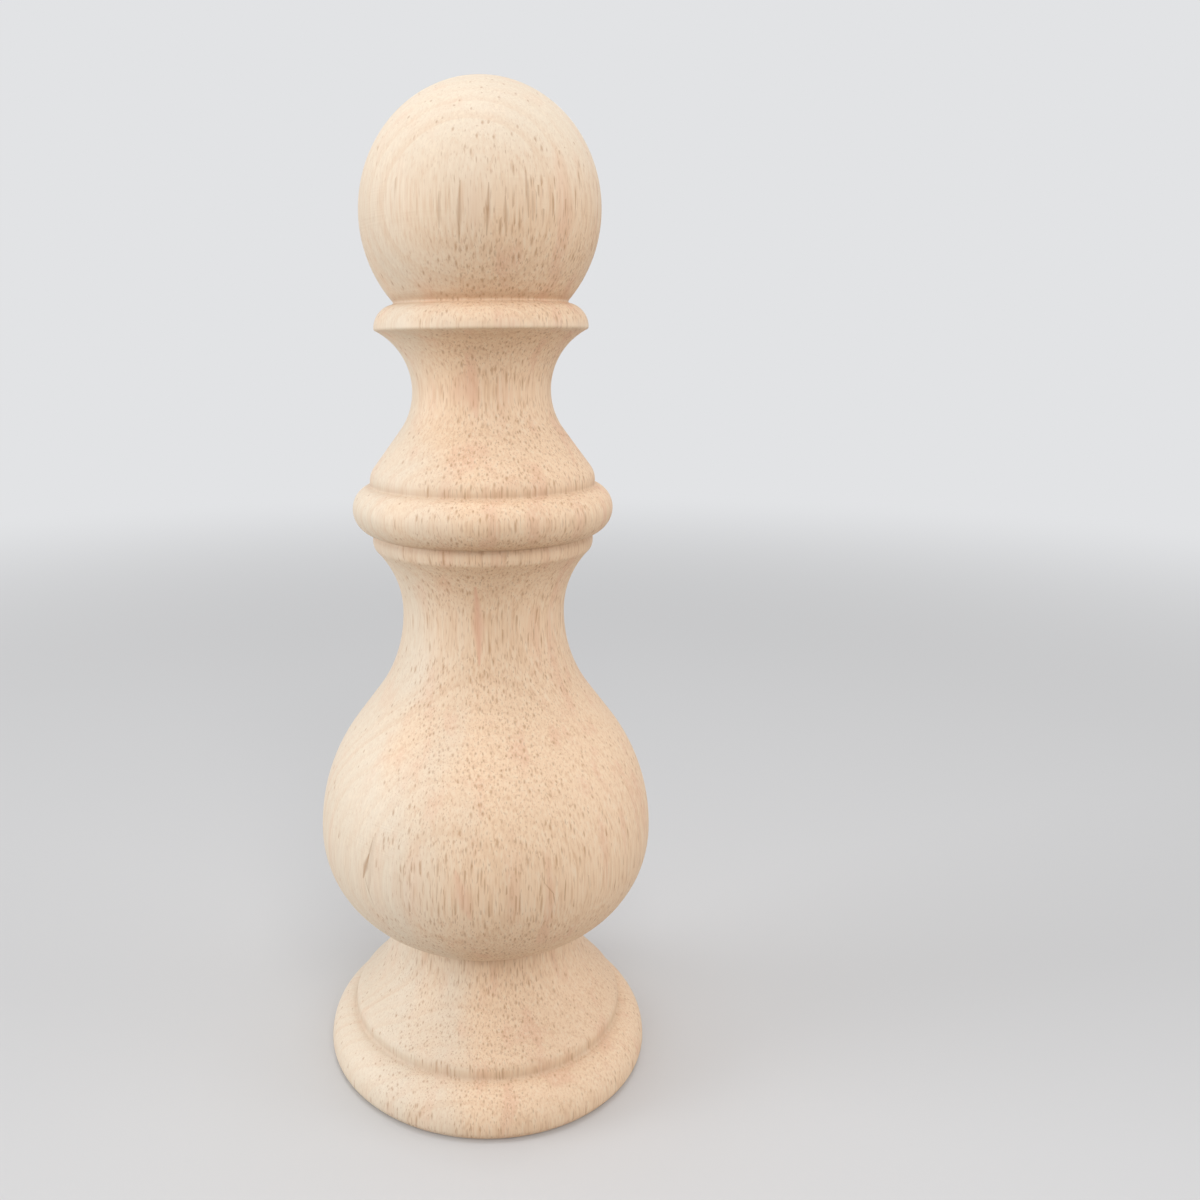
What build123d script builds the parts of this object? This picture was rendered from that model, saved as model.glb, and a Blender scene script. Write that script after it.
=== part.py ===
from build123d import *
from math import atan2, degrees, sqrt
import os

os.makedirs("parts", exist_ok=True)

# One turned wooden finial for the top of a newel post: a ball, a collar, a hollow, a bead,
# a vase and a wide foot, all worked on one blank. Millimetres, +Z up. The turning axis is Z
# and the foot stands on z = 0. Diameters are as callipers would read them, and each member's
# height is measured along the axis.

# Whole turning. The vase takes up whatever height the other members leave.
HEIGHT = 220.0

# Ball, cut off where it meets the collar
BALL_DIA = 48.9
BALL_NECK_DIA = 35.5

# Collar: a flattened quarter round with a crisp lower edge
COLLAR_DIA = 44.8
COLLAR_HEIGHT = 5.0
COLLAR_SWELL = 1.4

# Upper hollow: tight under the collar, then easing out to a rounded shoulder
UPPER_THROAT_DIA = 29.5
UPPER_THROAT_DROP = 12.0
UPPER_HOLLOW_R = 13.5
SHOULDER_DIA = 48.9
SHOULDER_DROP = 18.9
SHOULDER_ROUND_R = 4.8
SHOULDER_LIP = 0.8

# Bead, with a narrow fillet bead under it
BEAD_DIA = 56.8
BEAD_HEIGHT = 10.3
FILLET_DIA = 47.9
FILLET_HEIGHT = 3.3
FILLET_SWELL = 0.35

# Vase: a long hollow neck that runs into the belly
NECK_DIA = 36.4
NECK_DROP = 14.3
NECK_HOLLOW_R = 32.1
BELLY_DIA = 78.4
BELLY_Z = 61.0
BELLY_UPPER_R = 43.6
BELLY_LOWER_R = 25.7

# Foot: a stem hidden under the belly, a rounded step, and the roll that stands on the post
STEM_DIA = 44.8
STEM_HOLLOW_R = 25.6
STEP_DIA = 66.6
STEP_HEIGHT = 2.0
STEP_ROUND_R = 3.2
LEDGE_DIA = 67.8
ROLL_DIA = 80.0
ROLL_HEIGHT = 11.7
ROLL_WIDEST_Z = 2.8
BASE_DIA = 74.8

# Flat-bottomed blind hole in the underside for the dowel that fixes the finial to its post
DOWEL_DIA = 10.0
DOWEL_DEPTH = 30.0

# Least share of the room between two members that stays straight in a reverse curve
LEAST_STRAIGHT = 0.01

UP = (0, 1)
DOWN = (0, -1)


def on_axis(height):
    """Profile point on the turning axis."""
    return Vector(0, height)


def at(diameter, height):
    """Profile point where the callipers read this diameter at this height."""
    return Vector(diameter / 2, height)


def reverse_curve(throat, swell, hollow_r, round_r):
    """Profile that drops from a throat, sweeps out through a hollow, a straight and a round,
    and is upright again at the swell. Both radii shrink alike where the drop is too short."""
    out = swell.X - throat.X
    drop = throat.Y - swell.Y
    room = (out**2 + drop**2) / (2 * out)
    radii = min(hollow_r + round_r, room * (1 - LEAST_STRAIGHT))
    hollow_r *= radii / (hollow_r + round_r)
    straight = sqrt(2 * out * (room - radii))
    slope = degrees(atan2(radii, straight) - atan2(radii - out, drop))
    hollow = JernArc(throat, DOWN, hollow_r, slope)
    flank = Line(hollow @ 1, (hollow @ 1) + (hollow % 1) * straight)
    shoulder = JernArc(flank @ 1, flank % 1, radii - hollow_r, -slope)
    return [hollow, flank, shoulder]


# Ball and collar, from the top of the work down
ball_r = BALL_DIA / 2
ball_centre_z = HEIGHT - ball_r
ball_neck_z = ball_centre_z - sqrt(ball_r**2 - (BALL_NECK_DIA / 2) ** 2)
ball_top = on_axis(HEIGHT)
ball_neck = at(BALL_NECK_DIA, ball_neck_z)
collar_edge = at(COLLAR_DIA, ball_neck_z - COLLAR_HEIGHT)
ball = ThreePointArc(ball_top, at(BALL_DIA, ball_centre_z), ball_neck)
collar = SagittaArc(ball_neck, collar_edge, COLLAR_SWELL)

# Upper hollow and its shoulder
upper_throat = at(UPPER_THROAT_DIA, collar_edge.Y - UPPER_THROAT_DROP)
shoulder = at(SHOULDER_DIA, upper_throat.Y - SHOULDER_DROP)
under_collar = TangentArc(upper_throat, collar_edge, tangent=UP)
upper_flare = reverse_curve(upper_throat, shoulder, UPPER_HOLLOW_R, SHOULDER_ROUND_R)

# Bead and fillet bead
bead_top = at(SHOULDER_DIA, shoulder.Y - SHOULDER_LIP)
bead_crest = at(BEAD_DIA, bead_top.Y - BEAD_HEIGHT / 2)
bead_foot = at(FILLET_DIA, bead_top.Y - BEAD_HEIGHT)
fillet_foot = at(FILLET_DIA, bead_foot.Y - FILLET_HEIGHT)
lip = Line(shoulder, bead_top)
bead = ThreePointArc(bead_top, bead_crest, bead_foot)
fillet_bead = SagittaArc(bead_foot, fillet_foot, FILLET_SWELL)

# Vase: neck and belly
neck = at(NECK_DIA, fillet_foot.Y - NECK_DROP)
belly = at(BELLY_DIA, BELLY_Z)
under_fillet = TangentArc(neck, fillet_foot, tangent=UP)
vase = reverse_curve(neck, belly, NECK_HOLLOW_R, BELLY_UPPER_R)

# The belly's underside curls in until it is as narrow as the stem
belly_arc_centre_r = BELLY_DIA / 2 - BELLY_LOWER_R
belly_curl = sqrt(BELLY_LOWER_R**2 - (STEM_DIA / 2 - belly_arc_centre_r) ** 2)
stem = at(STEM_DIA, BELLY_Z - belly_curl)
under_belly = TangentArc(belly, stem, tangent=DOWN)

# Foot: stem, step, ledge and roll
step = at(STEP_DIA, ROLL_HEIGHT + STEP_HEIGHT)
ledge_outer = at(LEDGE_DIA, ROLL_HEIGHT)
roll_widest = at(ROLL_DIA, ROLL_WIDEST_Z)
base = at(BASE_DIA, 0)
stem_flare = reverse_curve(stem, step, STEM_HOLLOW_R, STEP_ROUND_R)
step_and_ledge = Polyline(step, at(STEP_DIA, ROLL_HEIGHT), ledge_outer)
roll_top = TangentArc(roll_widest, ledge_outer, tangent=UP)
roll_under = TangentArc(roll_widest, base, tangent=DOWN)

# Underside, dowel hole, and back up the axis to the ball
underside_and_hole = Polyline(
    base,
    at(DOWEL_DIA, 0),
    at(DOWEL_DIA, DOWEL_DEPTH),
    on_axis(DOWEL_DEPTH),
    ball_top,
)

# Half section of the work, turned once about its axis
half_section = make_face(
    [
        ball,
        collar,
        under_collar,
        *upper_flare,
        lip,
        bead,
        fillet_bead,
        under_fillet,
        *vase,
        under_belly,
        *stem_flare,
        *step_and_ledge.edges(),
        roll_top,
        roll_under,
        *underside_and_hole.edges(),
    ]
)
finial = revolve(Plane.XZ * half_section, Axis.Z)
finial.label = "finial"

export_step(finial, "parts/finial.step")
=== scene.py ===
from cmath import exp, phase
from math import atan, atan2, ceil, pi, radians, sin, sqrt

import bpy
from mathutils import Matrix, Vector


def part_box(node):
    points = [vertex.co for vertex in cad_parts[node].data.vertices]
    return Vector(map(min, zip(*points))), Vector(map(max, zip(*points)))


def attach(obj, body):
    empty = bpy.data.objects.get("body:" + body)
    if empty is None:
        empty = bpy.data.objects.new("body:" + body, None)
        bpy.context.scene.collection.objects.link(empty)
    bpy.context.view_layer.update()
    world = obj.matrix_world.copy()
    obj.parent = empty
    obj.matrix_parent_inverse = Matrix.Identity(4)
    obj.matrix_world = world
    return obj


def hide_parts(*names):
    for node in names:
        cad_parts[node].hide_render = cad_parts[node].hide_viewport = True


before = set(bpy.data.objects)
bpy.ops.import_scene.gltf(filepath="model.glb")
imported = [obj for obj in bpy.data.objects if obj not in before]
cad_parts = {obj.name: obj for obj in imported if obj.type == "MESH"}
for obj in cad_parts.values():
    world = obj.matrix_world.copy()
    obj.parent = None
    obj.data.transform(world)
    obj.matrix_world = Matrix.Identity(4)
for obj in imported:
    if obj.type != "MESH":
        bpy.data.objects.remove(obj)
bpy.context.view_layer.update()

# The finial. It ends the newel post of a stair, and a dowel in its underside holds it there. It
# is one piece, turned from a blank of pale hardwood, sanded on the lathe and left bare.
high_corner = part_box("finial")[1]
HEIGHT = high_corner.z
ROLL_DIA = 2 * high_corner.x
BALL_DIA = 0.0489
BALL_NECK_DIA = 0.0355
COLLAR_DIA = 0.0448
COLLAR_HEIGHT = 0.0050
COLLAR_SWELL = 0.0014
UPPER_THROAT_DIA = 0.0295
UPPER_THROAT_DROP = 0.0120
UPPER_HOLLOW_R = 0.0135
SHOULDER_DIA = 0.0489
SHOULDER_DROP = 0.0189
SHOULDER_ROUND_R = 0.0048
SHOULDER_LIP = 0.0008
BEAD_DIA = 0.0568
BEAD_HEIGHT = 0.0103
FILLET_DIA = 0.0479
FILLET_HEIGHT = 0.0033
FILLET_SWELL = 0.00035
NECK_DIA = 0.0364
NECK_DROP = 0.0143
NECK_HOLLOW_R = 0.0321
BELLY_DIA = 0.0784
BELLY_Z = 0.0610
BELLY_UPPER_R = 0.0436
BELLY_LOWER_R = 0.0257
STEM_DIA = 0.0448
STEM_HOLLOW_R = 0.0256
STEP_DIA = 0.0666
STEP_HEIGHT = 0.0020
STEP_ROUND_R = 0.0032
LEDGE_DIA = 0.0678
ROLL_HEIGHT = 0.0117
ROLL_WIDEST_Z = 0.0028
BASE_DIA = 0.0748
DOWEL_DIA = 0.0100
DOWEL_DEPTH = 0.0300

# The half section, the line that the turner's gauge follows from the end of the dowel hole round
# the foot and up to the top of the ball. Its points are radius + height * 1j, in metres.
TURN_PER_STEP = radians(3)
LONGEST_STEP = 0.002
UP = 1j
INWARDS = -1


def at(diameter, height):
    """Point where callipers read this diameter at this height."""
    return complex(diameter / 2, height)


def arc(start, end, half_turn=0.0):
    """Points after start, up to end, on an arc that turns by twice half_turn, towards the
    axis on the way up where it is positive. Without it they lie on a straight line."""
    chord = end - start
    steps = ceil(max(abs(2 * half_turn) / TURN_PER_STEP, abs(chord) / LONGEST_STEP))
    points = []
    for step in range(1, steps + 1):
        share = step / steps
        reach = sin(half_turn * share) / sin(half_turn) if half_turn else share
        points.append(start + chord * reach * exp(1j * half_turn * (share - 1)))
    return points


def arc_from(start, heading, end):
    """Arc that leaves start along heading."""
    return arc(start, end, phase((end - start) / heading))


def arc_into(start, end, heading):
    """Arc that comes into end along heading."""
    return arc(start, end, phase(heading / (end - start)))


def swelling(start, end, swell):
    """Arc that stands out from the straight line between its ends by swell."""
    return arc(start, end, 2 * atan(2 * swell / abs(end - start)))


def reverse_curve(swell, throat, round_r, hollow_r):
    """Round, straight and hollow from a swell up to the throat above it, upright at both."""
    out = swell.real - throat.real
    rise = throat.imag - swell.imag
    radii = round_r + hollow_r
    straight = sqrt(out**2 + rise**2 - 2 * out * radii)
    slope = atan2(radii, straight) - atan2(radii - out, rise)
    round_end = swell + UP * exp(1j * slope / 2) * 2 * round_r * sin(slope / 2)
    flank_end = round_end + UP * exp(1j * slope) * straight
    rounding = arc(swell, round_end, slope / 2)
    return rounding + arc(round_end, flank_end) + arc(flank_end, throat, -slope / 2)


ball_r = BALL_DIA / 2
ball_neck = at(BALL_NECK_DIA, HEIGHT - ball_r - sqrt(ball_r**2 - (BALL_NECK_DIA / 2) ** 2))
collar_edge = at(COLLAR_DIA, ball_neck.imag - COLLAR_HEIGHT)
upper_throat = at(UPPER_THROAT_DIA, collar_edge.imag - UPPER_THROAT_DROP)
shoulder = at(SHOULDER_DIA, upper_throat.imag - SHOULDER_DROP)
bead_top = shoulder - UP * SHOULDER_LIP
bead_crest = at(BEAD_DIA, bead_top.imag - BEAD_HEIGHT / 2)
bead_foot = at(FILLET_DIA, bead_top.imag - BEAD_HEIGHT)
bead_half_turn = phase((bead_top - bead_crest) / (bead_crest - bead_foot))
fillet_foot = bead_foot - UP * FILLET_HEIGHT
neck = at(NECK_DIA, fillet_foot.imag - NECK_DROP)
belly = at(BELLY_DIA, BELLY_Z)
belly_curl = sqrt(BELLY_LOWER_R**2 - (STEM_DIA / 2 - BELLY_DIA / 2 + BELLY_LOWER_R) ** 2)
stem = at(STEM_DIA, BELLY_Z - belly_curl)
step = at(STEP_DIA, ROLL_HEIGHT + STEP_HEIGHT)
step_foot = at(STEP_DIA, ROLL_HEIGHT)
ledge_outer = at(LEDGE_DIA, ROLL_HEIGHT)
roll_widest = at(ROLL_DIA, ROLL_WIDEST_Z)
base = at(BASE_DIA, 0)
hole_mouth = at(DOWEL_DIA, 0)
hole_end = at(DOWEL_DIA, DOWEL_DEPTH)
ball_top = at(0, HEIGHT)

half_section = [at(0, DOWEL_DEPTH)]
half_section += arc(half_section[0], hole_end)
half_section += arc(hole_end, hole_mouth)
half_section += arc(hole_mouth, base)
half_section += arc_into(base, roll_widest, UP)
half_section += arc_from(roll_widest, UP, ledge_outer)
half_section += arc(ledge_outer, step_foot)
half_section += arc(step_foot, step)
half_section += reverse_curve(step, stem, STEP_ROUND_R, STEM_HOLLOW_R)
half_section += arc_into(stem, belly, UP)
half_section += reverse_curve(belly, neck, BELLY_UPPER_R, NECK_HOLLOW_R)
half_section += arc_from(neck, UP, fillet_foot)
half_section += swelling(fillet_foot, bead_foot, FILLET_SWELL)
half_section += arc(bead_foot, bead_top, bead_half_turn)
half_section += arc(bead_top, shoulder)
half_section += reverse_curve(shoulder, upper_throat, SHOULDER_ROUND_R, UPPER_HOLLOW_R)
half_section += arc_from(upper_throat, UP, collar_edge)
half_section += swelling(collar_edge, ball_neck, COLLAR_SWELL)
half_section += arc_into(ball_neck, ball_top, INWARDS)

# Abrasive paper eases the crisp corners. It eases the step's foot and the ball's neck more.
CRISP_TURN = radians(12)
SANDED_CORNER = 0.0004
SOFTER_CORNER = 0.0010
FLAT_BESIDE = 1.3
CORNER_STEPS = 7
CORNER_TURN = 1.1 * TURN_PER_STEP
CORNER_REACH = 0.0012
CORNER_GAIN = 1.5
SQUARE_TURN = radians(90)


def sanded(points, softer):
    """The same line with its crisp corners eased, and a point kept on the flat beside each. The
    softer corners are eased more, and take in a lesser corner within their reach."""
    along = [0.0]
    for before, point in zip(points, points[1:]):
        along.append(along[-1] + abs(point - before))

    def place_at(distance):
        """Point at this distance along the line."""
        span = max(i for i in range(len(points) - 1) if along[i] <= distance)
        share = (distance - along[span]) / (along[span + 1] - along[span])
        return points[span] + (points[span + 1] - points[span]) * share

    cuts = []
    for before, corner, after, centre in zip(points, points[1:], points[2:], along[1:]):
        if abs(phase((after - corner) / (corner - before))) > CRISP_TURN:
            reach = SOFTER_CORNER if corner in softer else SANDED_CORNER
            cuts.append((centre, reach, corner))
    wide = [centre for centre, reach, corner in cuts if corner in softer]
    eased = []
    finished = -1.0
    for distance, point in zip(along, points):
        for centre, reach, corner in cuts:
            absorbed = any(0 < abs(centre - other) < SOFTER_CORNER for other in wide)
            if absorbed or not finished < centre - reach * FLAT_BESIDE <= distance:
                continue
            start = place_at(centre - reach) - corner
            end = place_at(centre + reach) - corner
            eased.append(place_at(centre - reach * FLAT_BESIDE))
            for step in range(CORNER_STEPS + 1):
                share = step / CORNER_STEPS
                eased.append(corner + start * (1 - share) ** 2 + end * share**2)
            eased.append(place_at(centre + reach * FLAT_BESIDE))
            finished = centre + reach * FLAT_BESIDE
        if distance > finished:
            eased.append(point)
    return eased


def wear_and_shade_along(points):
    """How sharp a corner each point lies by: 1 on an arris, which the paper rubs, -1 in a crease,
    which gets painted shade, and fading to 0 on the plain stretches between them."""
    values = []
    for point in points:
        value = 0.0
        for before, corner, after in zip(points, points[1:], points[2:]):
            turn = phase((after - corner) / (corner - before))
            if abs(turn) > CORNER_TURN:
                nearness = exp(-abs(point - corner) / CORNER_REACH).real
                value += turn / SQUARE_TURN * CORNER_GAIN * nearness
        values.append(max(-1.0, min(1.0, value)))
    return values


half_section = sanded(half_section, (step_foot, ball_neck))
gauge_mesh = bpy.data.meshes.new("turned_finial")
gauge_points = [(point.real, 0, point.imag) for point in half_section]
gauge_edges = [(i, i + 1) for i in range(len(gauge_points) - 1)]
gauge_mesh.from_pydata(gauge_points, gauge_edges, [])
# Each point keeps how sharp its corner is, for the rubbed arrises and for the painted shade in the
# creases.
wear_and_shade = gauge_mesh.attributes.new("wear_and_shade", "FLOAT", "POINT")
wear_and_shade.data.foreach_set("value", wear_and_shade_along(half_section))
finial = bpy.data.objects.new("turned_finial", gauge_mesh)
bpy.context.scene.collection.objects.link(finial)

# The lathe swings the half section once about Z and leaves the work a shade uneven, as hand
# sanding does, always inside the true line. The dowel hole stays true.
FACETS_ROUND = 216
UNEVEN_DEPTH = 0.00010
UNEVEN_SIZE = 0.012
TRUE_TO_BORES = 1.1
UNEVEN_FROM_BORES = 2
LEAST_RADIUS = 0.001
WELD_DISTANCE = 0.000001
SANDING_SEED = 4


def put(tree, kind, sockets=(), **settings):
    """Adds a node, sets its properties, and gives its sockets values or links, by the socket's
    name or number."""
    node = tree.nodes.new(kind)
    for name, value in settings.items():
        setattr(node, name, value)
    for name, value in dict(sockets).items():
        if isinstance(value, bpy.types.NodeSocket):
            tree.links.new(value, node.inputs[name])
        else:
            node.inputs[name].default_value = value
    return node


def maths(tree, operation, *values):
    """Output of a Math node."""
    return put(tree, "ShaderNodeMath", enumerate(values), operation=operation).outputs[0]


def times(tree, first, second):
    """Product of two values."""
    return maths(tree, "MULTIPLY", first, second)


def vector_maths(tree, operation, first, second):
    """Vector output of a Vector Math node."""
    sockets = {0: first, 1: second}
    return put(tree, "ShaderNodeVectorMath", sockets, operation=operation).outputs["Vector"]


def fade(tree, value, low, high):
    """0 below low, 1 above high, and smooth between them. Low may be above high."""
    limits = {"Value": value, "From Min": low, "From Max": high}
    faded = put(tree, "ShaderNodeMapRange", limits, interpolation_type="SMOOTHSTEP")
    return faded.outputs["Result"]


def new_tree(name, kind, inputs, outputs):
    """Node tree with named inputs (name: (socket kind, default)) and outputs (name: kind)."""
    tree = bpy.data.node_groups.new(name, kind)
    for label, (socket, default) in inputs.items():
        added = tree.interface.new_socket(label, in_out="INPUT", socket_type=socket)
        if default is not None:
            added.default_value = default
    for label, socket in outputs.items():
        tree.interface.new_socket(label, in_out="OUTPUT", socket_type=socket)
    given = tree.nodes.new("NodeGroupInput").outputs
    return tree, given, tree.nodes.new("NodeGroupOutput").inputs


lathe, given, made = new_tree(
    "Lathe",
    "GeometryNodeTree",
    {
        "Gauge": ("NodeSocketGeometry", None),
        "Facets Round": ("NodeSocketInt", FACETS_ROUND),
        "Uneven Depth": ("NodeSocketFloat", UNEVEN_DEPTH),
        "Uneven Size": ("NodeSocketFloat", UNEVEN_SIZE),
        "Bore": ("NodeSocketFloat", DOWEL_DIA / 2),
        "Seed": ("NodeSocketInt", SANDING_SEED),
        "Wood": ("NodeSocketMaterial", None),
    },
    {"Work": "NodeSocketGeometry"},
)
gauge_size = put(lathe, "GeometryNodeAttributeDomainSize", {"Geometry": given["Gauge"]})
rows = gauge_size.outputs["Point Count"]
columns = maths(lathe, "ADD", given["Facets Round"], 1)
grid = put(lathe, "GeometryNodeMeshGrid", {"Vertices X": columns, "Vertices Y": rows})
index = put(lathe, "GeometryNodeInputIndex").outputs["Index"]
row = maths(lathe, "MODULO", index, rows)
column = maths(lathe, "FLOOR", maths(lathe, "DIVIDE", index, rows))
gauge_place = put(
    lathe,
    "GeometryNodeSampleIndex",
    {
        "Geometry": given["Gauge"],
        "Value": put(lathe, "GeometryNodeInputPosition").outputs["Position"],
        "Index": row,
    },
    data_type="FLOAT_VECTOR",
).outputs["Value"]
on_gauge = put(lathe, "ShaderNodeSeparateXYZ", {"Vector": gauge_place}).outputs
turn = times(lathe, maths(lathe, "DIVIDE", column, given["Facets Round"]), 2 * pi)
swung = put(
    lathe,
    "ShaderNodeCombineXYZ",
    {
        "X": times(lathe, on_gauge["X"], maths(lathe, "COSINE", turn)),
        "Y": times(lathe, on_gauge["X"], maths(lathe, "SINE", turn)),
        "Z": on_gauge["Z"],
    },
).outputs["Vector"]
unevenness = put(
    lathe,
    "ShaderNodeTexNoise",
    {
        "Vector": swung,
        "W": given["Seed"],
        "Scale": maths(lathe, "DIVIDE", 1, given["Uneven Size"]),
        "Detail": 1,
    },
    noise_dimensions="4D",
).outputs[0]
true_to = times(lathe, given["Bore"], TRUE_TO_BORES)
uneven_from = times(lathe, given["Bore"], UNEVEN_FROM_BORES)
off_bore = fade(lathe, on_gauge["X"], true_to, uneven_from)
cut = times(lathe, times(lathe, unevenness, off_bore), given["Uneven Depth"])
cut_share = maths(lathe, "DIVIDE", cut, maths(lathe, "MAXIMUM", on_gauge["X"], LEAST_RADIUS))
narrower = maths(lathe, "SUBTRACT", 1, cut_share)
narrowing = put(lathe, "ShaderNodeCombineXYZ", {"X": narrower, "Y": narrower, "Z": 1})
sanded_place = vector_maths(lathe, "MULTIPLY", swung, narrowing.outputs["Vector"])
skin = put(
    lathe,
    "GeometryNodeSetPosition",
    {"Geometry": grid.outputs["Mesh"], "Position": sanded_place},
)
gauge_wear_and_shade = put(lathe, "GeometryNodeInputNamedAttribute", {"Name": "wear_and_shade"}, data_type="FLOAT")
row_wear_and_shade = put(
    lathe,
    "GeometryNodeSampleIndex",
    {"Geometry": given["Gauge"], "Value": gauge_wear_and_shade.outputs["Attribute"], "Index": row},
    data_type="FLOAT",
)
marked_skin = put(
    lathe,
    "GeometryNodeStoreNamedAttribute",
    {"Geometry": skin.outputs["Geometry"], "Name": "wear_and_shade", "Value": row_wear_and_shade.outputs["Value"]},
    data_type="FLOAT",
    domain="POINT",
)
closed = put(
    lathe,
    "GeometryNodeMergeByDistance",
    {"Geometry": marked_skin.outputs["Geometry"], "Distance": WELD_DISTANCE},
)
smooth = put(lathe, "GeometryNodeSetShadeSmooth", {"Geometry": closed.outputs["Geometry"]})
real = put(lathe, "GeometryNodeRealizeInstances", {"Geometry": smooth.outputs["Geometry"]})
wooden = put(
    lathe,
    "GeometryNodeSetMaterial",
    {"Geometry": real.outputs["Geometry"], "Material": given["Wood"]},
)
lathe.links.new(wooden.outputs["Geometry"], made["Work"])

# The wood is even, with fine open pores. The heart of the tree lay beside the blank, with sapwood
# on the left, and its cream there is partly a painted highlight. Lengths in it are in millimetres.
# A streak is given as its width and its length, and a fade as the place where its mask is 0 and
# the place where it is 1.
MM_PER_METRE = 1000
HEART = (12.0, 89.4, 0.0)
SAPWOOD_AND_PAINTED_HIGHLIGHT = (237, 221, 200)
HEARTWOOD = (247, 216, 184)
ROSY = (236, 188, 158)
LATE_WOOD = (222, 181, 144)
PALE_FIBRE = (250, 232, 208)
PORE = (178, 128, 86)
PAINTED_CREASE_SHADE = (186, 152, 122)
OPEN_GRAIN = (164, 112, 64)
NUMBER = "NodeSocketFloat"
VECTOR = "NodeSocketVector"


def paint(colour):
    """Colour as a screen shows it, from 0 to 255, for a colour socket."""
    shown = [channel / 255 for channel in colour]
    return *[c / 12.92 if c < 0.04045 else ((c + 0.055) / 1.055) ** 2.4 for c in shown], 1


def mixed(tree, share, first, second):
    """Colour between first and second. A Mix node's colours are its inputs 6 and 7."""
    sockets = {0: share, 6: first, 7: second}
    return put(tree, "ShaderNodeMix", sockets, data_type="RGBA").outputs[2]


def between(tree, share, low, high):
    """Value that runs from low to high as share runs from 0 to 1."""
    return maths(tree, "ADD", times(tree, share, high - low), low)


def length_of(tree, vector):
    """Length of a vector."""
    return put(tree, "ShaderNodeVectorMath", {0: vector}, operation="LENGTH").outputs["Value"]


def off_axis(tree, place):
    """Distance of a place from the Z axis."""
    return length_of(tree, vector_maths(tree, "MULTIPLY", place, (1, 1, 0)))


def dot(tree, first, second):
    """Dot product of two vectors."""
    sockets = {0: first, 1: second}
    return put(tree, "ShaderNodeVectorMath", sockets, operation="DOT_PRODUCT").outputs["Value"]


def streaks(tree, place, width, length, detail=1):
    """Noise from 0 to 1 whose blotches are width across and length along the grain."""
    squeezed = vector_maths(tree, "DIVIDE", place, (width, width, length))
    sockets = {"Vector": squeezed, "Scale": 1, "Detail": detail}
    return put(tree, "ShaderNodeTexNoise", sockets).outputs[0]


def grouped(tree, group, sockets):
    """Outputs of a node group that is placed in a material."""
    return put(tree, "ShaderNodeGroup", sockets, node_tree=group).outputs


# Growth rings waver along the trunk. The late wood of a year comes on slowly and ends at once.
WAVER = (30, 110)
LATE_WOOD_COMES = (0.35, 0.9)
LATE_WOOD_ENDS = (1.0, 0.93)
rings, given, made = new_tree(
    "Growth Rings",
    "ShaderNodeTree",
    {"From Heart": (VECTOR, None), "Width": (NUMBER, 4.0), "Waver": (NUMBER, 5.0)},
    {"Late Wood": NUMBER, "Season": NUMBER},
)
waver = times(rings, streaks(rings, given["From Heart"], *WAVER), given["Waver"])
wavering = maths(rings, "ADD", off_axis(rings, given["From Heart"]), waver)
years = maths(rings, "DIVIDE", wavering, given["Width"])
in_year = maths(rings, "FRACT", years)
coming = fade(rings, in_year, *LATE_WOOD_COMES)
late = times(rings, coming, fade(rings, in_year, *LATE_WOOD_ENDS))
rings.links.new(late, made["Late Wood"])
year_number = maths(rings, "FLOOR", years)
season = put(rings, "ShaderNodeTexWhiteNoise", {"W": year_number}, noise_dimensions="1D")
rings.links.new(season.outputs["Value"], made["Season"])

# Pores are short open vessels that stray a little from the grain. Their bores run from half to
# one and a half times the usual bore.
STRAY_SCALE = 0.07
PORE_ROUNDING = (1, 1, 0.25)
LEAST_BORE = 0.5
PORE_FLOOR = 0.1
pores, given, made = new_tree(
    "Pores",
    "ShaderNodeTree",
    {
        "Place": (VECTOR, None),
        "Spacing": (NUMBER, 1.2),
        "Length": (NUMBER, 6.0),
        "Bore": (NUMBER, 0.5),
        "Share": (NUMBER, 0.5),
    },
    {"Open": NUMBER},
)
stray_sockets = {"Vector": given["Place"], "Scale": STRAY_SCALE, "Detail": 0}
stray = put(pores, "ShaderNodeTexNoise", stray_sockets).outputs["Color"]
strayed = vector_maths(pores, "ADD", given["Place"], stray)
cell_sides = {"X": given["Spacing"], "Y": given["Spacing"], "Z": given["Length"]}
cell = put(pores, "ShaderNodeCombineXYZ", cell_sides).outputs["Vector"]
in_cells = vector_maths(pores, "DIVIDE", strayed, cell)
cells = put(pores, "ShaderNodeTexVoronoi", {"Vector": in_cells, "Scale": 1}).outputs
from_pore = vector_maths(pores, "SUBTRACT", in_cells, cells["Position"])
off_pore = length_of(pores, vector_maths(pores, "MULTIPLY", from_pore, PORE_ROUNDING))
chance = put(pores, "ShaderNodeSeparateColor", {"Color": cells["Color"]}).outputs
usual_radius = maths(pores, "DIVIDE", times(pores, given["Bore"], 0.5), given["Spacing"])
radius = times(pores, usual_radius, maths(pores, "ADD", chance["Green"], LEAST_BORE))
inside = fade(pores, off_pore, radius, times(pores, radius, PORE_FLOOR))
kept = maths(pores, "LESS_THAN", chance["Red"], given["Share"])
pores.links.new(times(pores, inside, kept), made["Open"])

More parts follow.
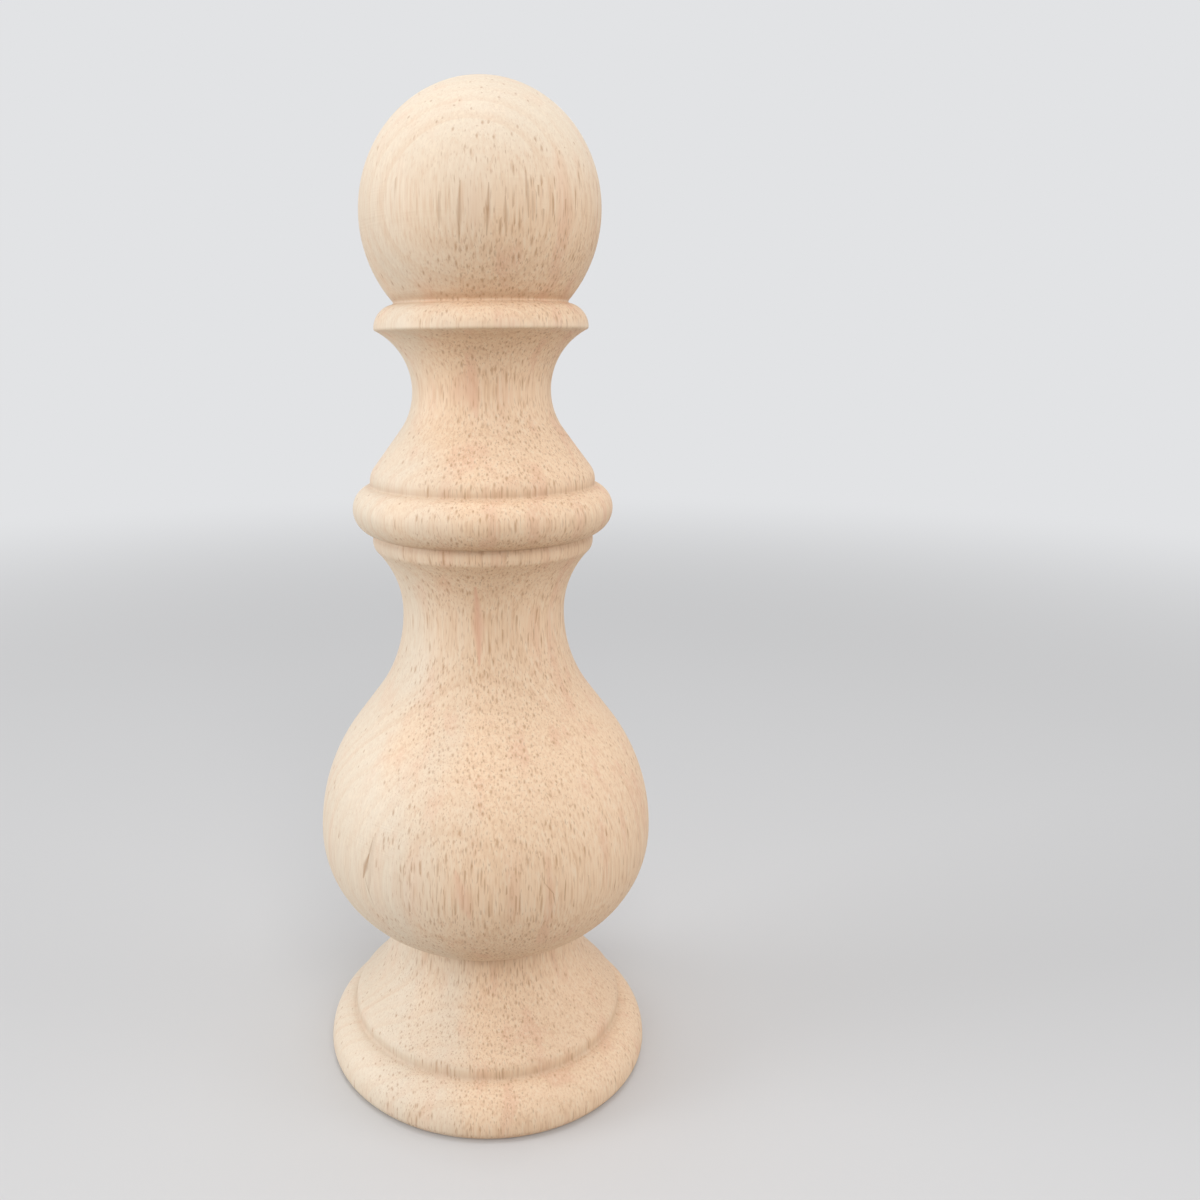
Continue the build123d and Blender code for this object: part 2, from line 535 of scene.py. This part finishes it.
# Sanding rings are the faint lines that the paper leaves round the work, here and there.
SANDING_DRIFT = (14, 14)
DRIFT_REACH = 2
SANDED_PATCHES = (9, 9)
PATCH_EDGE = (0.42, 0.6)
sanding, given, made = new_tree(
    "Sanding Rings",
    "ShaderNodeTree",
    {"Place": (VECTOR, None), "Pitch": (NUMBER, 0.35)},
    {"Line": NUMBER},
)
height = put(sanding, "ShaderNodeSeparateXYZ", {"Vector": given["Place"]}).outputs["Z"]
drift = streaks(sanding, given["Place"], *SANDING_DRIFT, detail=0)
round_work = {
    "X": maths(sanding, "DIVIDE", off_axis(sanding, given["Place"]), given["Pitch"]),
    "Y": maths(sanding, "DIVIDE", height, given["Pitch"]),
    "Z": times(sanding, drift, DRIFT_REACH),
}
turned_place = put(sanding, "ShaderNodeCombineXYZ", round_work).outputs["Vector"]
line_sockets = {"Vector": turned_place, "Scale": 1, "Detail": 0}
line = put(sanding, "ShaderNodeTexNoise", line_sockets).outputs[0]
patches = streaks(sanding, given["Place"], *SANDED_PATCHES, detail=0)
sanding.links.new(times(sanding, line, fade(sanding, patches, *PATCH_EDGE)), made["Line"])

# A grain mark is a taper between two places, measured on the unrolled surface. Start and End hold
# the angle round from the front and the height.
MARK_MIDDLE = 0.6
grain_mark, given, made = new_tree(
    "Grain Mark",
    "ShaderNodeTree",
    {
        "Place": (VECTOR, None),
        "Start": (VECTOR, None),
        "End": (VECTOR, None),
        "Width": (NUMBER, 0.5),
    },
    {"Mark": NUMBER},
)
axes = put(grain_mark, "ShaderNodeSeparateXYZ", {"Vector": given["Place"]}).outputs
angle = maths(grain_mark, "ARCTAN2", axes["X"], times(grain_mark, axes["Y"], -1))
unrolled = put(grain_mark, "ShaderNodeCombineXYZ", {"X": angle, "Y": axes["Z"]}).outputs["Vector"]
unrolling = {"X": off_axis(grain_mark, given["Place"]), "Y": 1}
to_length = put(grain_mark, "ShaderNodeCombineXYZ", unrolling).outputs["Vector"]
run = vector_maths(grain_mark, "SUBTRACT", given["End"], given["Start"])
run = vector_maths(grain_mark, "MULTIPLY", run, to_length)
here = vector_maths(grain_mark, "SUBTRACT", unrolled, given["Start"])
here = vector_maths(grain_mark, "MULTIPLY", here, to_length)
as_far = {0: dot(grain_mark, here, run), 1: dot(grain_mark, run, run)}
share = put(grain_mark, "ShaderNodeMath", as_far, operation="DIVIDE", use_clamp=True).outputs[0]
along_run = {0: run, "Scale": share}
nearest = put(grain_mark, "ShaderNodeVectorMath", along_run, operation="SCALE").outputs["Vector"]
off_line = length_of(grain_mark, vector_maths(grain_mark, "SUBTRACT", here, nearest))
from_middle = maths(grain_mark, "ABSOLUTE", maths(grain_mark, "SUBTRACT", share, 0.5))
taper = maths(grain_mark, "SUBTRACT", MARK_MIDDLE, from_middle)
half_width = times(grain_mark, given["Width"], taper)
grain_mark.links.new(fade(grain_mark, off_line, half_width, 0), made["Mark"])

wood = bpy.data.materials.new("turned_hardwood")
wood.use_nodes = True
board = wood.node_tree
shader = board.nodes["Principled BSDF"]
on_object = put(board, "ShaderNodeTexCoord").outputs["Object"]
enlarged = {"Vector": on_object, "Scale": (MM_PER_METRE, MM_PER_METRE, MM_PER_METRE)}
place = put(board, "ShaderNodeMapping", enlarged).outputs["Vector"]
on_work = put(board, "ShaderNodeSeparateXYZ", {"Vector": place}).outputs

# Sapwood runs into heartwood along wavering flames. The cream on the left is partly a painted
# highlight on the lit side. The top of the ball is painted as pale as the sapwood, a painted
# highlight. Rosy streaks run through both, and stand out more in the heartwood.
FLAME = (13, 80)
FLAME_REACH = 34
SAPWOOD_AND_HIGHLIGHT_ACROSS = (-24, 2)
BELOW_PAINTED_HIGHLIGHT = (211, 189)
ROSY_STREAK = (5, 42)
ROSY_EDGE = (0.52, 0.72)
ROSY_IN_SAPWOOD_AND_HIGHLIGHT = 0.3
ROSY_DEPTH = 0.45
flames = maths(board, "SUBTRACT", streaks(board, place, *FLAME), 0.5)
flaming = maths(board, "ADD", on_work["X"], times(board, flames, FLAME_REACH))
# Painted highlight: the top of the ball is painted pale, with fewer streaks and pores.
under_painted_highlight = fade(board, on_work["Z"], *BELOW_PAINTED_HIGHLIGHT)
# The cream on the left is partly the sapwood and partly a painted highlight on the lit side.
warmth = times(board, fade(board, flaming, *SAPWOOD_AND_HIGHLIGHT_ACROSS), under_painted_highlight)
colour = mixed(board, warmth, paint(SAPWOOD_AND_PAINTED_HIGHLIGHT), paint(HEARTWOOD))
rosiness = fade(board, streaks(board, place, *ROSY_STREAK), *ROSY_EDGE)
rosiness = times(board, rosiness, between(board, warmth, ROSY_IN_SAPWOOD_AND_HIGHLIGHT, 1))
colour = mixed(board, times(board, rosiness, ROSY_DEPTH), colour, paint(ROSY))

# The rings of the years show faintly, some more than others, and the fibres lie along the grain.
RING_WIDTH = 2.6
RING_WAVER = 8.0
RING_DEPTH = (0.05, 0.23)
FIBRE = (0.5, 8)
DARK_FIBRE = (0.48, 0.75)
PALER_FIBRE = (0.5, 0.28)
DARK_IN_SAPWOOD_AND_HIGHLIGHT = 0.18
DARK_IN_HEARTWOOD = 0.62
PALER_FIBRE_DEPTH = 0.38
from_heart = vector_maths(board, "SUBTRACT", place, HEART)
ring_sockets = {"From Heart": from_heart, "Width": RING_WIDTH, "Waver": RING_WAVER}
year = grouped(board, rings, ring_sockets)
ring = times(board, year["Late Wood"], between(board, year["Season"], *RING_DEPTH))
colour = mixed(board, ring, colour, paint(LATE_WOOD))
fibre = streaks(board, place, *FIBRE, detail=2)
dark_depth = between(board, warmth, DARK_IN_SAPWOOD_AND_HIGHLIGHT, DARK_IN_HEARTWOOD)
dark_fibre = times(board, fade(board, fibre, *DARK_FIBRE), dark_depth)
colour = mixed(board, dark_fibre, colour, paint(LATE_WOOD))
pale_fibre = times(board, fade(board, fibre, *PALER_FIBRE), PALER_FIBRE_DEPTH)
colour = mixed(board, pale_fibre, colour, paint(PALE_FIBRE))

# The pores crowd together in the middle layers of the blank, which lean to the right going up. Few
# of them show at the top of the ball, under its painted highlight.
LAYERS_LEAN = -0.1
LAYERS_SHIFT = 6
MIDDLE_TO_RIGHT = (22, 8)
MIDDLE_TO_LEFT = (-27, -12)
LEAST_ON_RIGHT = 0.2
CROWD = (9, 34)
CROWD_EDGE = (0.28, 0.55)
PORE_SHARE = (0.08, 0.88)
PORE_DEPTH = 0.5
FINE_PORE = (0.24, 2.6)
FINE_PORE_EDGE = (0.62, 0.78)
LEAST_FINE = 0.4
FINE_PORE_DEPTH = 0.36
leaning = times(board, on_work["Z"], LAYERS_LEAN)
across = maths(board, "ADD", maths(board, "ADD", on_work["X"], leaning), LAYERS_SHIFT)
middle = between(board, fade(board, across, *MIDDLE_TO_RIGHT), LEAST_ON_RIGHT, 1)
middle = times(board, middle, fade(board, across, *MIDDLE_TO_LEFT))
middle = times(board, middle, under_painted_highlight)
crowding = times(board, fade(board, streaks(board, place, *CROWD), *CROWD_EDGE), middle)
pore_share = between(board, crowding, *PORE_SHARE)
pore_sockets = {"Place": place, "Spacing": 1.05, "Length": 4.2, "Bore": 0.6, "Share": pore_share}
open_pore = grouped(board, pores, pore_sockets)["Open"]
fine_pore = fade(board, streaks(board, place, *FINE_PORE, detail=0), *FINE_PORE_EDGE)
fine_pore = times(board, fine_pore, between(board, middle, LEAST_FINE, 1))
colour = mixed(board, times(board, fine_pore, FINE_PORE_DEPTH), colour, paint(PORE))
colour = mixed(board, times(board, open_pore, PORE_DEPTH), colour, paint(PORE))

# Open grain on the front of the ball. Then a hairline and a nick on the left of the belly, and a
# hairline on its right. Then rosy streaks on the lower neck, the upper neck and the belly. Each
# end is its height and its angle round from the front, and then come the width and the depth.
grain_marks = (
    (OPEN_GRAIN, (198.6, -8.2), (188.4, -9.4), 1.3, 0.44),
    (OPEN_GRAIN, (198.2, 3.9), (189.6, 2.9), 1.3, 0.44),
    (OPEN_GRAIN, (196.0, 10.8), (189.6, 11.5), 1.3, 0.36),
    (OPEN_GRAIN, (201.0, 20.0), (192.6, 21.4), 1.1, 0.35),
    (OPEN_GRAIN, (197.0, -17.4), (191.0, -18.0), 1.2, 0.3),
    (OPEN_GRAIN, (72.5, -38.4), (58.5, -40.6), 3.0, 0.16),
    (OPEN_GRAIN, (71.5, -39.1), (65.4, -40.9), 0.8, 0.4),
    (OPEN_GRAIN, (67.6, -40.3), (61.4, -42.9), 2.0, 0.55),
    (OPEN_GRAIN, (62.5, -42.2), (55.5, -39.4), 0.5, 0.35),
    (OPEN_GRAIN, (64.8, 17.8), (61.4, 21.3), 0.5, 0.35),
    (OPEN_GRAIN, (62.6, 20.6), (58.6, 21.8), 0.5, 0.4),
    (ROSY, (123.5, -4.6), (106.5, -3.0), 3.4, 0.8),
    (ROSY, (169.0, -10.0), (157.0, -4.0), 5.0, 0.4),
    (ROSY, (68.0, -9.5), (57.0, -5.0), 5.0, 0.45),
)
opened = 0.0
for tint, (start_height, start_angle), (end_height, end_angle), width, depth in grain_marks:
    ends = {
        "Place": place,
        "Start": (radians(start_angle), start_height, 0),
        "End": (radians(end_angle), end_height, 0),
        "Width": width,
    }
    mark = times(board, grouped(board, grain_mark, ends)["Mark"], depth)
    colour = mixed(board, mark, colour, paint(tint))
    if tint is OPEN_GRAIN:
        opened = maths(board, "MAXIMUM", opened, mark)

# Painted shade darkens the creases, and the arrises are rubbed paler and smoother.
PAINTED_SHADE_DEPTH = 0.32
ARRIS_PALENESS = 0.3
wear_and_shade_here = put(board, "ShaderNodeAttribute", attribute_name="wear_and_shade").outputs["Fac"]
painted_crease_shade = fade(board, wear_and_shade_here, 0, -1)
arris = fade(board, wear_and_shade_here, 0, 1)
# Painted shade in the creases, in a brown shade colour.
colour = mixed(board, times(board, painted_crease_shade, PAINTED_SHADE_DEPTH), colour, paint(PAINTED_CREASE_SHADE))
colour = mixed(board, times(board, arris, ARRIS_PALENESS), colour, paint(PALE_FIBRE))
board.links.new(colour, shader.inputs["Base Color"])

# Bare wood has a dull gloss. An open pore is rougher, and a rubbed arris is smoother.
FIBRE_ROUGHNESS = (0.52, 0.64)
PORE_ROUGHER = 0.15
ARRIS_SMOOTHER = 0.08
BARE_GLOSS = 0.35
roughness = between(board, fibre, *FIBRE_ROUGHNESS)
roughness = maths(board, "ADD", roughness, times(board, open_pore, PORE_ROUGHER))
roughness = maths(board, "SUBTRACT", roughness, times(board, arris, ARRIS_SMOOTHER))
board.links.new(roughness, shader.inputs["Roughness"])
shader.inputs["Specular IOR Level"].default_value = BARE_GLOSS

# The fibres and the sanding rings stand up a few hundredths of a millimetre, and the pores and
# the open grain lie as deep.
FIBRE_RELIEF = 0.04
SANDING_RELIEF = 0.03
OPEN_RELIEF = 0.03
sanding_line = grouped(board, sanding, {"Place": place, "Pitch": 0.35})["Line"]
standing = times(board, sanding_line, SANDING_RELIEF)
relief = maths(board, "ADD", times(board, fibre, FIBRE_RELIEF), standing)
relief = maths(board, "SUBTRACT", relief, times(board, open_pore, OPEN_RELIEF))
relief = maths(board, "SUBTRACT", relief, times(board, opened, OPEN_RELIEF))
bump_sockets = {"Height": relief, "Distance": 1 / MM_PER_METRE}
bump = put(board, "ShaderNodeBump", bump_sockets).outputs["Normal"]
board.links.new(bump, shader.inputs["Normal"])

turning = finial.modifiers.new("Lathe", "NODES")
turning.node_group = lathe
for socket in lathe.interface.items_tree:
    if socket.in_out == "INPUT" and socket.name == "Wood":
        turning[socket.identifier] = wood
evaluated = finial.evaluated_get(bpy.context.evaluated_depsgraph_get())
work = bpy.data.meshes.new_from_object(evaluated)
finial.modifiers.remove(turning)
finial.data = work
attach(finial, "root")
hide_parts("finial")

# The studio. A plain pale floor that runs into a plain background. Only the top of the floor
# shows, and it starts under the overhang of the foot, so that the underside can be seen too.
BACKGROUND = (226, 227, 229)
FLOOR_SEEN = (216, 216, 217)
FLOOR_BOUNCE = (169, 162, 153)
FLOOR_GAP = 0.0008
FLOOR_REACH = 8.0
FLOOR_SIDES = 96
FLOOR_FADE = (0.35, 1.0)
AMBIENT = 0.47


def seen_rays(tree):
    """1 for rays that show the floor or the background as they look, and 0 for its light."""
    rays = put(tree, "ShaderNodeLightPath").outputs
    direct = maths(tree, "MAXIMUM", rays["Is Camera Ray"], rays["Is Transmission Ray"])
    return maths(tree, "MAXIMUM", direct, rays["Is Glossy Ray"])


floor_edges = (BASE_DIA / 2 + FLOOR_GAP, FLOOR_REACH)
turns = [exp(2j * pi * side / FLOOR_SIDES) for side in range(FLOOR_SIDES)]
floor_points = [turn * radius for radius in floor_edges for turn in turns]
floor_faces = []
for side in range(FLOOR_SIDES):
    onward = (side + 1) % FLOOR_SIDES
    floor_faces.append((side, side + FLOOR_SIDES, onward + FLOOR_SIDES, onward))
floor_mesh = bpy.data.meshes.new("floor")
floor_mesh.from_pydata([(point.real, point.imag, 0) for point in floor_points], [], floor_faces)
floor = bpy.data.objects.new("floor", floor_mesh)
bpy.context.scene.collection.objects.link(floor)
floor_paint = bpy.data.materials.new("floor_paint")
floor_paint.use_nodes = True
ground = floor_paint.node_tree
ground.nodes.clear()
seen = seen_rays(ground)
matt_colour = mixed(ground, seen, paint(FLOOR_BOUNCE), paint(FLOOR_SEEN))
matt = put(ground, "ShaderNodeBsdfDiffuse", {"Color": matt_colour}).outputs["BSDF"]
plain = put(ground, "ShaderNodeEmission", {"Color": paint(BACKGROUND)}).outputs["Emission"]
away = length_of(ground, put(ground, "ShaderNodeTexCoord").outputs["Object"])
far = times(ground, fade(ground, away, *FLOOR_FADE), seen)
top_side = put(ground, "ShaderNodeMixShader", {0: far, 1: matt, 2: plain}).outputs["Shader"]
nothing = put(ground, "ShaderNodeBsdfTransparent").outputs["BSDF"]
from_below = put(ground, "ShaderNodeNewGeometry").outputs["Backfacing"]
both_sides = {0: from_below, 1: top_side, 2: nothing}
floor_skin = put(ground, "ShaderNodeMixShader", both_sides).outputs["Shader"]
put(ground, "ShaderNodeOutputMaterial", {"Surface": floor_skin})
floor_mesh.materials.append(floor_paint)

world = bpy.data.worlds.new("studio")
bpy.context.scene.world = world
world.use_nodes = True
air = world.node_tree
air.nodes.clear()
even = put(air, "ShaderNodeBackground", {"Color": (1, 1, 1, 1), "Strength": AMBIENT})
backdrop = put(air, "ShaderNodeBackground", {"Color": paint(BACKGROUND)})
lit_or_seen = {0: seen_rays(air), 1: even.outputs["Background"], 2: backdrop.outputs["Background"]}
both = put(air, "ShaderNodeMixShader", lit_or_seen).outputs["Shader"]
put(air, "ShaderNodeOutputWorld", {"Surface": both})

# The lamps. Four soft ones light the work: one near and high in front, one overhead, and one low
# on each side for the edges. A lamp's size grows with its distance.
LAMP_SPREAD = 0.45


def soft_lamp(name, angle, elevation, distance, watts, colour=(1, 1, 1)):
    """Square lamp that faces the middle of the work, at an angle round from the front, to the
    right, and at an elevation."""
    light = bpy.data.lights.new(name, "AREA")
    light.size = LAMP_SPREAD * distance
    light.energy = watts
    light.color = colour
    lamp = bpy.data.objects.new(name, light)
    swung_round = Matrix.Rotation(radians(angle), 3, "Z")
    away = swung_round @ Matrix.Rotation(radians(-elevation), 3, "X") @ Vector((0, -1, 0))
    lamp.location = Vector((0, 0, HEIGHT / 2)) + away * distance
    lamp.rotation_euler = (-away).to_track_quat("-Z", "Y").to_euler()
    lamp.visible_camera = False
    bpy.context.scene.collection.objects.link(lamp)


soft_lamp("front", angle=8, elevation=40, distance=0.5, watts=0.72)
soft_lamp("overhead", angle=0, elevation=88, distance=2.0, watts=10.2)
soft_lamp("left", angle=-80, elevation=12, distance=2.0, watts=18.2, colour=(0.98, 1.0, 1.02))
soft_lamp("right", angle=80, elevation=12, distance=2.0, watts=8.4)

# The camera. It stands close, a little below the top of the work, and looks down on the foot.
# The photograph is a crop, so the lens looks past the middle of the frame.
FRAME_PIXELS = 1200
SENSOR = 36
FOCAL_PIXELS = 1008.4
CENTRE_COLUMN = 484.3
CENTRE_ROW = 675
CAMERA_PLACE = (0, -0.2222, 0.1710)
LOOKS_DOWN = 18.21
LEANS = -0.559
NEAREST_SEEN = 0.01
camera_data = bpy.data.cameras.new("camera")
camera_data.sensor_width = SENSOR
camera_data.lens = FOCAL_PIXELS / FRAME_PIXELS * SENSOR
camera_data.shift_x = (FRAME_PIXELS / 2 - CENTRE_COLUMN) / FRAME_PIXELS
camera_data.shift_y = (CENTRE_ROW - FRAME_PIXELS / 2) / FRAME_PIXELS
camera_data.clip_start = NEAREST_SEEN
camera = bpy.data.objects.new("camera", camera_data)
camera.location = CAMERA_PLACE
tilted = Matrix.Rotation(radians(90 - LOOKS_DOWN), 3, "X")
camera.rotation_euler = (tilted @ Matrix.Rotation(radians(LEANS), 3, "Z")).to_euler()
bpy.context.scene.collection.objects.link(camera)
bpy.context.scene.camera = camera
bpy.context.scene.view_settings.view_transform = "Standard"
